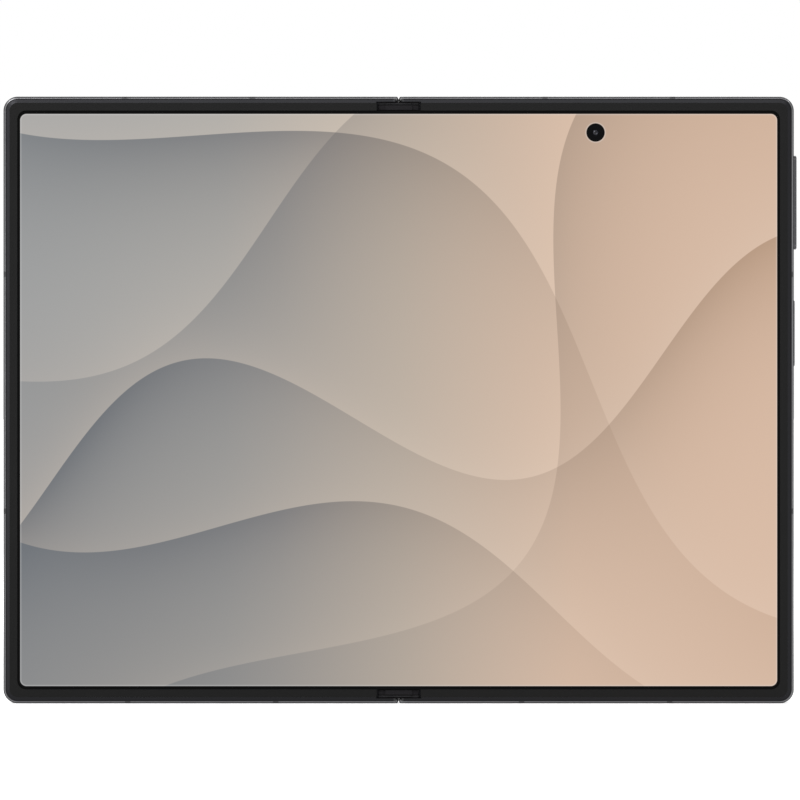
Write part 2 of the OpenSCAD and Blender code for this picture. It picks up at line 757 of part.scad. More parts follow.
// Knuckle on the pin, and a neck that dips under the bent screen to a screwed foot
module arm(y, wide) along_y(y - wide / 2, y + wide / 2) {
    translate([pivot_x, pivot_z]) circle(knuckle_r);
    polygon([[pivot_x - 0.1, pivot_z - 0.3], [pivot_x + 0.25, arm_bottom], [arm_end, arm_bottom],
             [arm_end, arm_top], [neck_x, arm_top], [pivot_x + 0.5, pivot_z - 0.15]]);
}
module arm_bores() {
    rod(pivot_x, pivot_z, pin_r + pin_play, -half_h, half_h);
    foot_screw_places() cylinder(h = far, r = screw_r + 0.02);
}
module hinge_arms() difference() {
    for (y = module_places) arm(y, arm_w);
    arm_bores();
}
module sync_arm(phase) difference() {
    union() {
        arm(0, sync_w);
        gear_sector(phase);
    }
    arm_bores();
}
module foot_screws() foot_screw_places() screw(foot_screw_z, arm_top);

// A sector meshes with its idler when its teeth stand at the mirrored angle plus half a step
module right_hinge_arms() color("slategray") upright() hinge_arms();
module left_hinge_arms() color("slategray") upright() left_side() hinge_arms();
module right_sync_arm() color("slategray") upright()
    sync_arm(2 * contact + 180 - idler_phase_right + tooth_step / 2);
module left_sync_arm() color("slategray") upright() left_side()
    sync_arm(2 * contact + 180 - (180 - idler_phase_left) + tooth_step / 2);
module right_arm_screws() color("darkgray") upright() foot_screws();
module left_arm_screws() color("darkgray") upright() left_side() foot_screws();

// Plate under the bending strip, which turns on a bead in the mid plate's edge
module wing_plate() difference() {
    union() {
        rod(wing_axis_x, wing_axis_z, bead_r, -wing_half, wing_half);
        block([wing_axis_x - 0.5, -wing_half, wing_axis_z - wing_neck_t / 2],
              [wing_axis_x, wing_half, wing_axis_z + wing_neck_t / 2]);
        block([wing_start, -wing_half, plate_top - wing_t], [wing_axis_x - 0.3, wing_half, plate_top]);
    }
    for (y = module_places) wing_notch(y, arm_w);
    wing_notch(0, sync_w);
    wing_notch((flex_y0 + flex_y1) / 2, flex_y1 - flex_y0);
}
module wing_notch(y, wide)
    block([0, y - wide / 2 - 0.3, 0], [neck_x + 0.5, y + wide / 2 + 0.3, far]);
module right_wing_plate() color("lightsteelblue") upright() wing_plate();
module left_wing_plate() color("lightsteelblue") upright() left_side() wing_plate();

// Flexible circuit that carries the signals across the hinge
module hinge_flex_cable() color("darkorange") upright()
    block([-flex_end, flex_y0, flex_z], [flex_end, flex_y1, flex_z + flex_t]);

// ---- Backs ----

module glass_plan() {
    inset = glass_inset + glass_gap;
    half_plan(glass_start + glass_gap, inset, corner_r - inset);
}
module cover_glass() color("#101114") upright() left_side() linear_extrude(glass_t) glass_plan();
module back_glass() color("#5b5d63") upright() difference() {
    linear_extrude(glass_t) glass_plan();
    translate([0, 0, -1]) linear_extrude(glass_t + 2) plateau_plan(plateau_r + glass_gap);
    disc(light_x, upper_y, flash_r + glass_gap, -1, far);
}

module plateau_plan(r) {
    for (y = [upper_y, lower_y]) translate([lens_x, y]) circle(r);
    translate([lens_x - r, lower_y]) square([2 * r, rear_pitch]);
}
module camera_plateau() color("#2e2f33") upright() difference() {
    step = 0.3;
    union() {
        translate([0, 0, step - plateau_h]) linear_extrude(plateau_h - step + glass_t)
            plateau_plan(plateau_r);
        translate([0, 0, -plateau_h]) linear_extrude(step + eps) plateau_plan(plateau_r - step);
    }
    for (y = [upper_y, lower_y]) {
        disc(lens_x, y, ring_r + glass_gap, -plateau_h - 1, -plateau_h + 0.4);
        disc(lens_x, y, lens_r, -plateau_h - 1, far);
    }
}
module lens_rings() color("#8a8c90") upright() for (y = [upper_y, lower_y]) difference() {
    union() {
        disc(lens_x, y, ring_r, -plateau_h - ring_h + 0.25, -plateau_h + 0.4);
        disc(lens_x, y, ring_r - 0.25, -plateau_h - ring_h, -plateau_h);
    }
    disc(lens_x, y, lens_r + 0.15, -plateau_h - ring_h - 1, -plateau_h - ring_h + 0.2 + lens_glass_t);
    disc(lens_x, y, lens_r - 0.4, -plateau_h - ring_h - 1, far);
}
module lens_windows() color("black") upright() for (y = [upper_y, lower_y])
    disc(lens_x, y, lens_r + 0.12, -plateau_h - ring_h + 0.2, -plateau_h - ring_h + 0.2 + lens_glass_t);
module rear_camera_modules() color("#30323a") upright() for (y = [upper_y, lower_y]) {
    block([lens_x - module_w / 2, y - module_w / 2, module_floor],
          [lens_x + module_w / 2, y + module_w / 2, cell_z1]);
    difference() {
        disc(lens_x, y, barrel_r, -plateau_h, module_floor + eps);
        disc(lens_x, y, barrel_r - 1.2, -plateau_h - 1, -plateau_h + 0.5);
    }
}
module flash_window() color("ivory") upright() disc(light_x, upper_y, flash_r, 0, glass_t + 0.25);

module inner_camera() color("#16171b") upright() {
    base = plate_bottom - 0.9;
    side = 2.9;
    difference() {
        disc(punch_x, inner_y, punch_r - 0.05, plate_top - eps, screen_top - 0.12);
        disc(punch_x, inner_y, punch_r - 0.95, screen_top - 0.3, far);
    }
    disc(punch_x, inner_y, punch_r + 0.6, base, plate_top);
    block([punch_x - side, inner_y - side, cell_z0], [punch_x + side, inner_y + side, base + eps]);
}

cover_camera_x = 43.2;
cover_camera_y = 6;
cover_camera_r = 1.8;
module cover_screen() color("#0a0a0c") upright() left_side() difference() {
    translate([0, 0, seat_z]) linear_extrude(cover_screen_t)
        half_plan(block_end + 0.05, wall_t + 0.1, corner_r - wall_t - 0.1);
    disc(cover_camera_x, half_h - cover_camera_y, cover_camera_r + 0.1, -1, far);
}
module cover_camera() color("#16171b") upright() left_side() {
    x = cover_camera_x;
    y = half_h - cover_camera_y;
    side = 2.6;
    difference() {
        disc(x, y, cover_camera_r, seat_z, seat_z + cover_screen_t + 0.2);
        disc(x, y, cover_camera_r / 2, seat_z - 1, seat_z + 0.25);
    }
    block([x - side, y - side, seat_z + cover_screen_t + 0.15], [x + side, y + side, cell_z1]);
}

// ---- Inside the left half ----

module battery(z0) block([cell_x0, battery_y0, z0], [cell_x1 - 1, battery_y1, cell_z1]);
module left_battery() color("#1d1e22") upright() left_side() battery(left_z0);
module left_board() color("darkgreen") upright() left_side() {
    y1 = half_h - 14;
    z0 = left_z0 + 0.4;
    can_w = 9;
    room = (cell_x1 - 1 - cell_x0) / 4;
    block([cell_x0, board_y0, z0], [cell_x1 - 1, y1, z0 + board_t]);
    for (i = [0:3]) {
        x = cell_x0 + (i + 0.5) * room;
        block([x - can_w / 2, board_y0 + 6, z0 + board_t - eps],
              [x + can_w / 2, y1 - 6, z0 + board_t + can_t]);
    }
}
module left_earpiece() color("#2b2b2e") upright() left_side()
    block([earpiece_x - earpiece_w / 2, half_h - wall_t - 0.1 - earpiece_len, left_z0],
          [earpiece_x + earpiece_w / 2, half_h - wall_t - 0.1, cell_z1]);

// Magnets along the outer wall, which hold the halves together when closed
magnet_places = [22 - half_h, 36 - half_h, half_h - 17];
module magnet_set() for (y = magnet_places)
    block([cell_x1 - magnet_w, y - magnet_len / 2, left_z0 + 0.1], [cell_x1, y + magnet_len / 2, cell_z1]);
module left_magnets() color("silver") upright() left_side() magnet_set();
module right_magnets() color("silver") upright() magnet_set();

// ---- Inside the right half ----

module right_battery() color("#1d1e22") upright() battery(cell_z0 + coil_t + 0.08);
module main_board() color("darkgreen") upright() difference() {
    block([cell_x0 + 0.5, board_y0, board_z0], [board_x1, cell_y, board_z0 + board_t]);
    disc(punch_x, inner_y, 4.4, 0, far);
    disc(light_x, upper_y, flash_r + 0.5, 0, far);
}

// One can behind the board and two in front of it, beside the card reader
module shield_cans() color("lightgray") upright() {
    y0 = board_y0 + 2;
    front_x0 = tray_x + tray_w / 2 + 3.5;
    front_x1 = board_x1 - 4.7;
    front_w = (front_x1 - front_x0 - 1) / 2;
    block([cell_x0 + 2, y0, cell_z0], [front_x0, cell_y - 3, board_z0]);
    for (x = [front_x0, front_x1 - front_w])
        block([x, y0, board_z0 + board_t], [x + front_w, upper_y - 4, cell_z1]);
}
module charging_coil() color("peru") upright()
    translate([coil_x, (battery_y0 + battery_y1) / 2, cell_z0]) for (i = [0:5]) {
        r = coil_r - i * coil_pitch;
        linear_extrude(coil_t) difference() {
            circle(r);
            circle(r - coil_wire);
        }
    }

// Oval tube of the charging port, drawn from y0 to y1 and grown by extra
module port_outline(y0, y1, extra)
    translate([port_x, 0, port_z]) along_y(y0, y1) bar_plan(port_w + 2 * extra, port_h + 2 * extra);
module charging_port() color("gainsboro") upright() difference() {
    port_outline(-half_h + 0.15, -half_h + port_deep, port_wall);
    port_outline(-half_h - 1, -half_h + port_deep - port_back, 0);
}
module port_tongue() color("black") upright()
    block([port_x - tongue_w / 2, -half_h + 1, port_z - tongue_t / 2],
          [port_x + tongue_w / 2, -half_h + port_deep - port_back, port_z + tongue_t / 2]);
module port_board() color("darkgreen") upright()
    block([port_x - port_board_w / 2, -half_h + port_deep + 0.1, port_z - board_t / 2],
          [port_x + port_board_w / 2, battery_y0 - 1, port_z + board_t / 2]);
module loudspeaker() color("#2b2b2e") upright()
    block([speaker_x - speaker_w / 2, -half_h + wall_t + 0.1, cell_z0],
          [speaker_x + speaker_w / 2, -half_h + wall_t + speaker_len, cell_z1]);
module vibration_motor() color("silver") upright() {
    y0 = -half_h + wall_t + 3;
    lid_t = 0.4;
    block([motor_x - motor_w / 2, y0, cell_z0], [motor_x + motor_w / 2, y0 + motor_len, cell_z1 - lid_t]);
    block([motor_x - motor_w / 2 + 1, y0 + 1, cell_z1 - lid_t],
          [motor_x + motor_w / 2 - 1, y0 + motor_len - 1, cell_z1]);
}

// Cage that guides the card tray over the main board
module card_reader() color("gainsboro") upright() {
    inside = carrier_w / 2 + 0.15;
    z0 = board_z0 + board_t;
    y0 = half_h - wall_t - tray_len + 1;
    for (s = [-1, 1]) translate([tray_x + s * (inside + cage_t / 2), 0, 0])
        block([-cage_t / 2, y0, z0], [cage_t / 2, half_h - wall_t - 0.1, cell_z1]);
    block([tray_x - inside - cage_t, y0 - cage_t, z0], [tray_x + inside + cage_t, y0, cell_z1]);
}

// Cover plate and carrier with a bay for a card on each of its two places
module card_tray() color("dimgray") upright() difference() {
    lid = 1;
    bay_w = 8.8;
    bay_len = 9;
    union() {
        block([tray_x - tray_w / 2, half_h - lid, tray_z - tray_t / 2],
              [tray_x + tray_w / 2, half_h, tray_z + tray_t / 2]);
        block([tray_x - carrier_w / 2, half_h - tray_len, tray_z - carrier_t / 2],
              [tray_x + carrier_w / 2, half_h - lid + eps, tray_z + carrier_t / 2]);
    }
    for (i = [0, 1]) {
        y = half_h - tray_len + 1 + i * (bay_len + 1.5);
        block([tray_x - bay_w / 2, y, tray_z - carrier_t / 2 + 0.2],
              [tray_x + bay_w / 2, y + bay_len, far]);
    }
    rod(tray_x + tray_w / 2 - 1.6, tray_z, 0.4, half_h - 1.5, half_h + 1);
}

// Switch strip behind the side keys
module key_switches() color("darkorange") upright() {
    x0 = half_w - wall_t;
    x1 = half_w - key_deep - key_travel - 0.02;
    volume_mid = half_h - volume_y;
    power_mid = half_h - power_y;
    half_strip = 0.9;
    block([x0 - switch_t, power_mid - power_len / 2, key_z - half_strip],
          [x0, volume_mid + volume_len / 2, key_z + half_strip]);
    for (y = [power_mid, volume_mid - volume_len / 3, volume_mid + volume_len / 3])
        translate([x0 - eps, y, key_z]) rotate([0, 90, 0]) cylinder(h = x1 - x0 + eps, r = 0.8);
}

// Key that stands out of the side wall, with round ends and a softened outer face
key_soft = 0.13;
module side_key(y, len, out) translate([half_w, y, key_z]) rotate([90, 0, 90]) {
    translate([0, 0, -key_deep]) linear_extrude(key_deep + out - key_soft + eps) bar_plan(len, key_t);
    translate([0, 0, out - key_soft]) linear_extrude(key_soft) bar_plan(len - 0.3, key_t - 0.3);
}
module volume_key() color("#57575a") upright() side_key(half_h - volume_y, volume_len, volume_out);
module power_key() color("#57575a") upright() side_key(half_h - power_y, power_len, power_out);

spine_cover();
spine_end_cap_top();
spine_end_cap_bottom();
hinge_bracket_top();
hinge_bracket_middle();
hinge_bracket_bottom();
hinge_centre_plate();
hinge_pins();
hinge_disc_springs();
hinge_bracket_screws();
folding_screen_strip();
hinge_flex_cable();
idler_gear_left();
idler_gear_right();
left_frame();
left_antenna_bands();
left_bezel();
left_screen_panel();
left_hinge_arms();
left_sync_arm();
left_arm_screws();
cover_glass();
cover_screen();
cover_camera();
left_battery();
left_board();
left_earpiece();
left_magnets();
left_wing_plate();
right_frame();
right_antenna_bands();
right_bezel();
right_screen_panel();
right_hinge_arms();
right_sync_arm();
right_arm_screws();
back_glass();
camera_plateau();
lens_rings();
lens_windows();
rear_camera_modules();
flash_window();
inner_camera();
right_battery();
main_board();
shield_cans();
charging_coil();
charging_port();
port_tongue();
port_board();
loudspeaker();
vibration_motor();
card_reader();
key_switches();
right_magnets();
right_wing_plate();
volume_key();
power_key();
card_tray();
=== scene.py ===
import bpy
import bmesh
import json
import math
from mathutils import Matrix, Vector

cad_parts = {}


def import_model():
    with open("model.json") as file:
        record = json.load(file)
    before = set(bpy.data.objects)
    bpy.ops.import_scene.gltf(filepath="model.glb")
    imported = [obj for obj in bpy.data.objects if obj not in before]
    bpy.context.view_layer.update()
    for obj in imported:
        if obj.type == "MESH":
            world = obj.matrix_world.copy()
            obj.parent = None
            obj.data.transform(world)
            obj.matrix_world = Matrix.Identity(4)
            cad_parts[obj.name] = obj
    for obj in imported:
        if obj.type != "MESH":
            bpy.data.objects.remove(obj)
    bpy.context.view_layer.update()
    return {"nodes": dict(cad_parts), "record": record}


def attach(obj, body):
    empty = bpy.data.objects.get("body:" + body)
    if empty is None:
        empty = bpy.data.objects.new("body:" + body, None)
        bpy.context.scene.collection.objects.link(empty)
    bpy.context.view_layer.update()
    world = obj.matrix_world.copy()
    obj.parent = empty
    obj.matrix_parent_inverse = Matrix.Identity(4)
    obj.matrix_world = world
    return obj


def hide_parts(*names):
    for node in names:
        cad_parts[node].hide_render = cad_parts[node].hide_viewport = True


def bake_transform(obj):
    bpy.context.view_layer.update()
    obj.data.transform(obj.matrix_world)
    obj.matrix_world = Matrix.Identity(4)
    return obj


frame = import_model()
nodes = frame["nodes"]
MM = 0.001

# All sizes are millimetres in the flat layout of part.scad: x across the fold, y to the top edge,
# z out of the screen, from the middle of the opened phone's back.
HALF_W, HALF_H, BODY_T = 80.7, 61.95, 4.9
CORNER_R = 2.9
FOLD_EDGE, FOLD_R = 0.1, 0.45
REAR_X, UPPER_Y, LOWER_Y = 67.5, 48.5, 31.5
FLASH_X, FLASH_R = 54, 2.1


def row(x, y, z):
    """A point of the flat layout, in millimetres, to the row frame, in metres."""
    return Vector((x, BODY_T / 2 - z, y + HALF_H)) * MM


# ---- Node trees ----


class Tree:
    """Short calls for the shader nodes of one material or world."""

    def __init__(self, owner):
        owner.use_nodes = True
        self.tree = owner.node_tree

    def node(self, kind, **settings):
        made = self.tree.nodes.new(kind)
        for key, value in settings.items():
            setattr(made, key, value)
        return made

    def link(self, value, socket):
        if isinstance(value, bpy.types.NodeSocket):
            self.tree.links.new(value, socket)
        else:
            socket.default_value = value

    def math(self, operation, a, b=0.0, c=0.0, clamp=False):
        made = self.node("ShaderNodeMath", operation=operation, use_clamp=clamp)
        for value, socket in zip((a, b, c), made.inputs):
            self.link(value, socket)
        return made.outputs[0]

    def smooth(self, value, low, high):
        made = self.node("ShaderNodeMapRange", interpolation_type="SMOOTHSTEP")
        self.link(value, made.inputs["Value"])
        made.inputs["From Min"].default_value = low
        made.inputs["From Max"].default_value = high
        return made.outputs[0]

    def band(self, value, rise, fall):
        """One between two smooth steps and nought outside them. Each step is given by its ends."""
        return self.math("MULTIPLY", self.smooth(value, *rise), self.smooth(value, *reversed(fall)))

    def mix(self, factor, a, b, blend="MIX"):
        made = self.node("ShaderNodeMix", data_type="RGBA", blend_type=blend)
        self.link(factor, made.inputs["Factor"])
        self.link(a, made.inputs["A"])
        self.link(b, made.inputs["B"])
        return made.outputs["Result"]

    def ramp(self, value, stops):
        made = self.node("ShaderNodeValToRGB")
        self.link(value, made.inputs[0])
        elements = made.color_ramp.elements
        while len(elements) < len(stops):
            elements.new(0.5)
        for element, (place, colour) in zip(elements, stops):
            element.position = place
            element.color = colour
        return made.outputs[0]

    def place(self):
        """Millimetres across and up in the flat layout, from the middle of the opened phone."""
        coords = self.node("ShaderNodeTexCoord")
        split = self.node("ShaderNodeSeparateXYZ")
        self.link(coords.outputs["Object"], split.inputs[0])
        x = self.math("DIVIDE", split.outputs[0], MM)
        return x, self.math("SUBTRACT", self.math("DIVIDE", split.outputs[2], MM), HALF_H)

    def away(self, x, y, cx, cy):
        """Distance of x and y from a centre."""
        dx, dy = self.math("SUBTRACT", x, cx), self.math("SUBTRACT", y, cy)
        return self.math("SQRT", self.math("MULTIPLY_ADD", dx, dx, self.math("MULTIPLY", dy, dy)))

    def noise(self, scale, detail=3.0, stretch=(1, 1, 1), kind="ShaderNodeTexNoise"):
        coords = self.node("ShaderNodeTexCoord")
        mapping = self.node("ShaderNodeMapping")
        mapping.inputs["Scale"].default_value = stretch
        self.link(coords.outputs["Object"], mapping.inputs["Vector"])
        made = self.node(kind)
        self.link(mapping.outputs[0], made.inputs["Vector"])
        made.inputs["Scale"].default_value = scale
        if "Detail" in made.inputs:
            made.inputs["Detail"].default_value = detail
        return made.outputs[0]


class Finish(Tree):
    """A new material with one Principled shader, whose sockets are given by name."""

    def __init__(self, name, **sockets):
        self.name = name
        self.material = bpy.data.materials.new(name)
        super().__init__(self.material)
        self.shader = self.tree.nodes["Principled BSDF"]
        for key, value in sockets.items():
            self.shader.inputs[key.replace("_", " ")].default_value = value

    def colour(self, value):
        self.link(value, self.shader.inputs["Base Color"])

    def vary(self, socket, value, low, high):
        """Feeds the socket a number that runs from low to high with the value."""
        made = self.node("ShaderNodeMapRange")
        self.link(value, made.inputs["Value"])
        made.inputs["To Min"].default_value = low
        made.inputs["To Max"].default_value = high
        self.link(made.outputs[0], self.shader.inputs[socket])

    def bump(self, height, distance, strength=1.0, soften=0.0):
        """Bump from a height, on normals that round the edges over a radius of soften metres."""
        made = self.node("ShaderNodeBump")
        made.inputs["Distance"].default_value = distance
        made.inputs["Strength"].default_value = strength
        self.link(height, made.inputs["Height"])
        if soften:
            bevel = self.node("ShaderNodeBevel", samples=6)
            bevel.inputs["Radius"].default_value = soften
            self.link(bevel.outputs[0], made.inputs["Normal"])
        self.link(made.outputs[0], self.shader.inputs["Normal"])


def srgb(r, g, b):
    """Eight-bit sRGB to a linear colour."""
    values = [c / 255 for c in (r, g, b)]
    return [c / 12.92 if c < 0.04045 else ((c + 0.055) / 1.055) ** 2.4 for c in values] + [1.0]


BROAD_GRAIN = 60


def speckled(name, colour, rough, grain=4000, depth=0.02, spread=0.12, soften=0.0,
             stretch=(1, 1, 1), paint=None, uneven=0.06, **sockets):
    """A finish of one colour with fine grain in its shade, its roughness and its surface.
    grain is a noise scale, depth and soften are millimetres, spread is a share of the colour and
    uneven is how far the roughness departs from rough. paint, where given, is a function that
    works further on the colour."""
    t = Finish(name, **sockets)
    fine = t.noise(grain, stretch=stretch)
    broad = t.noise(BROAD_GRAIN, 2.0)
    dark = [c * (1 - spread) for c in colour[:3]] + [1]
    light = [min(1, c * (1 + spread)) for c in colour[:3]] + [1]
    shade = t.math("MULTIPLY_ADD", broad, 0.5, t.math("MULTIPLY", fine, 0.5))
    base = t.ramp(shade, [(0.35, dark), (0.65, light)])
    t.colour(paint(t, base) if paint else base)
    t.vary("Roughness", fine, rough - uneven, rough + uneven)
    t.bump(fine, depth * MM, 0.5, soften * MM)
    return t


# ---- Screen picture ----

# Half the lit area and its corners, the stretch that the UV map covers, how far light reaches over
# a crest and how soft the crest is, the camera hole, and the light rim at the picture's border.
LIT_W, LIT_H, LIT_R = 77.25, 58.39, 1.3
UV_W, UV_H = 170, 130
GLOW = 9
CREST_BLUR = 0.08
PUNCH_X, PUNCH_Y, PUNCH_R = 40.2, HALF_H - 7.35, 1.85
PUNCH_RING = 0.03
EDGE_BLUR = 0.06
RIM_START, RIM_END, RIM_LIGHT = -0.34, -0.08, 0.2


def picture(t, x, z):
    """Soft dunes that run from cool grey at the left to warm sand at the right.
    x and z are millimetres from the middle of the screen."""
    across = t.math("MULTIPLY_ADD", x, 0.5 / HALF_W, 0.5)
    up = t.math("MULTIPLY_ADD", z, 0.5 / HALF_H, 0.5)
    colour = t.ramp(across, [
        (0.0, srgb(161, 162, 162)), (0.28, srgb(170, 168, 164)), (0.5, srgb(193, 180, 166)),
        (0.72, srgb(219, 190, 168)), (1.0, srgb(216, 186, 164))])
    shade = t.ramp(across, [
        (0.0, srgb(92, 99, 107)), (0.35, srgb(98, 100, 106)), (0.6, srgb(140, 126, 114)),
        (1.0, srgb(178, 146, 120))])
    foot = t.math("MULTIPLY", t.smooth(up, 0.75, 0.0), t.smooth(across, 0.75, 0.1))
    colour = t.mix(t.math("MULTIPLY", foot, 0.42), colour, srgb(104, 104, 106))
    # angle of the crest, offset, swing, wavelength and phase, then depth of shade, fade and light
    crests = [
        (24, 44, 15, 150, 0.4, 0.48, 32, 0.10),
        (-32, 24, 22, 190, 2.1, 0.72, 20, 0.14),
        (12, -2, 19, 128, 3.6, 0.86, 14, 0.18),
        (52, -16, 24, 170, 5.1, 0.60, 24, 0.10),
        (-14, -34, 13, 142, 1.3, 0.72, 16, 0.14),
    ]
    for angle, offset, swing, wave, phase, depth, fade, light in crests:
        c, s = math.cos(math.radians(angle)), math.sin(math.radians(angle))
        along = t.math("MULTIPLY_ADD", x, c, t.math("MULTIPLY", z, s))
        over = t.math("MULTIPLY_ADD", x, -s, t.math("MULTIPLY", z, c))
        turn = t.math("MULTIPLY_ADD", along, 2 * math.pi / wave, phase)
        crest = t.math("MULTIPLY_ADD", t.math("SINE", turn), swing, offset)
        below = t.math("SUBTRACT", crest, over)
        inside = t.smooth(below, -CREST_BLUR, CREST_BLUR)
        under = t.math("MAXIMUM", below, 0.0)
        fall = t.math("POWER", math.e, t.math("MULTIPLY", under, -1 / fade))
        swell = t.math("MULTIPLY_ADD", t.math("COSINE", t.math("MULTIPLY", turn, 0.8)), 0.35, 0.6)
        depth_here = t.math("MULTIPLY", swell, depth)
        amount = t.math("MULTIPLY", t.math("MULTIPLY", fall, inside), depth_here)
        colour = t.mix(amount, colour, shade)
        above = t.math("MAXIMUM", t.math("MULTIPLY", below, -1.0), 0.0)
        glow = t.math("POWER", math.e, t.math("MULTIPLY", above, -1 / GLOW))
        lift = t.math("MULTIPLY", t.math("MULTIPLY", glow, t.math("SUBTRACT", 1.0, inside)), light)
        colour = t.mix(lift, colour, srgb(232, 214, 196))
    return colour


def rounded_edge(t, x, z, half_x, half_z, radius):
    """Distance outwards from a rounded rectangle about the origin, below nought inside it."""
    qx = t.math("SUBTRACT", t.math("ABSOLUTE", x), half_x - radius)
    qz = t.math("SUBTRACT", t.math("ABSOLUTE", z), half_z - radius)
    ox, oz = t.math("MAXIMUM", qx, 0.0), t.math("MAXIMUM", qz, 0.0)
    corner = t.math("SQRT", t.math("MULTIPLY_ADD", ox, ox, t.math("MULTIPLY", oz, oz)))
    inner = t.math("MINIMUM", t.math("MAXIMUM", qx, qz), 0.0)
    return t.math("SUBTRACT", t.math("ADD", corner, inner), radius)


def screen_material():
    """The lit picture with a light rim at its border, and black outside it and round the camera."""
    t = Finish("inner_screen", Roughness=0.16, Emission_Strength=1.0)
    uv = t.node("ShaderNodeUVMap", uv_map="UVMap")
    split = t.node("ShaderNodeSeparateXYZ")
    t.link(uv.outputs[0], split.inputs[0])
    x = t.math("MULTIPLY_ADD", split.outputs[0], UV_W, -UV_W / 2)
    z = t.math("MULTIPLY_ADD", split.outputs[1], UV_H, -UV_H / 2)
    edge = rounded_edge(t, x, z, LIT_W, LIT_H, LIT_R)
    punch = t.math("SUBTRACT", PUNCH_R + PUNCH_RING, t.away(x, z, PUNCH_X, PUNCH_Y))
    edge = t.math("MAXIMUM", edge, punch)
    lit = t.smooth(edge, EDGE_BLUR, -EDGE_BLUR)
    rim = t.math("MULTIPLY", t.smooth(edge, RIM_START, RIM_END), RIM_LIGHT)
    colour = t.mix(rim, picture(t, x, z), [1, 1, 1, 1])
    black = srgb(8, 8, 8)
    t.link(t.mix(lit, black, colour), t.shader.inputs["Emission Color"])
    t.colour(t.mix(lit, black, srgb(12, 12, 13)))
    t.vary("Specular IOR Level", lit, 0.01, 0.12)
    return t.material


# ---- Finishes ----


# Bands of painted highlight and painted shade, as the ends of a rise and of a fall: across the
# frame's edge, counted inwards from its outline, and on the end caps, counted from the middle of
# the phone.
EDGE_HIGHLIGHT_BAND = (0.16, 0.28), (0.36, 0.5)
CREASE_SHADE_BAND = (0.5, 0.6), (0.66, 0.76)
CAP_GROOVE_SHADE = (60.12, 60.2), (60.34, 60.38)
CAP_LEDGE_HIGHLIGHT = (60.34, 60.38), (60.5, 60.6)


def painted_edge_light(strength):
    """Paint for the frame: a painted highlight along its rounded edges and painted shade in the
    crease just inside it.
    The highlight turns into the notch where the halves meet and ends there, lighter near the notch,
    on duller metal; the painted crease shade is fainter there."""
    def paint(t, colour):
        x, z = t.place()
        outer = t.math("MULTIPLY", rounded_edge(t, x, z, HALF_W, HALF_H, CORNER_R), -1.0)
        middle = (HALF_W + FOLD_EDGE) / 2
        from_middle = t.math("SUBTRACT", t.math("ABSOLUTE", x), middle)
        half = rounded_edge(t, from_middle, z, middle - FOLD_EDGE, HALF_H, FOLD_R)
        inwards = t.math("MINIMUM", outer, t.math("MULTIPLY", half, -1.0))
        # painted highlight along the rounded edge
        line = t.band(inwards, *EDGE_HIGHLIGHT_BAND)
        line = t.math("MULTIPLY", line, t.smooth(outer, 0.9, 0.6))
        # painted shade in the crease inside the rounded edge
        crease_shade = t.band(outer, *CREASE_SHADE_BAND)
        from_fold = t.math("ABSOLUTE", x)
        by_fold = t.smooth(from_fold, 1.2, 0.8)
        t.vary("Metallic", by_fold, 1.0, 0.4)
        # tone of the painted highlight, lighter still near the notch as more painted highlight
        cut = t.mix(t.smooth(from_fold, 0.8, 0.4), srgb(118, 118, 120), srgb(178, 178, 180))
        colour = t.mix(t.math("MULTIPLY", line, strength), colour, cut)
        # strength of the painted crease shade, fainter near the fold
        depth = t.math("MULTIPLY_ADD", by_fold, -0.5, 0.55)
        return t.mix(t.math("MULTIPLY", crease_shade, depth), colour, srgb(20, 20, 21))
    return paint


def cap_painted_light(t, colour):
    """Paint for the hinge's end caps: painted shade in a narrow recess and a painted highlight on
    the step beside it.
    """
    up = t.math("ABSOLUTE", t.place()[1])
    groove_shade, ledge_highlight = t.band(up, *CAP_GROOVE_SHADE), t.band(up, *CAP_LEDGE_HIGHLIGHT)
    # painted shade in the groove, then a painted highlight on the ledge
    colour = t.mix(t.math("MULTIPLY", groove_shade, 0.9), colour, srgb(4, 4, 4))
    return t.mix(t.math("MULTIPLY", ledge_highlight, 0.8), colour, srgb(52, 52, 54))


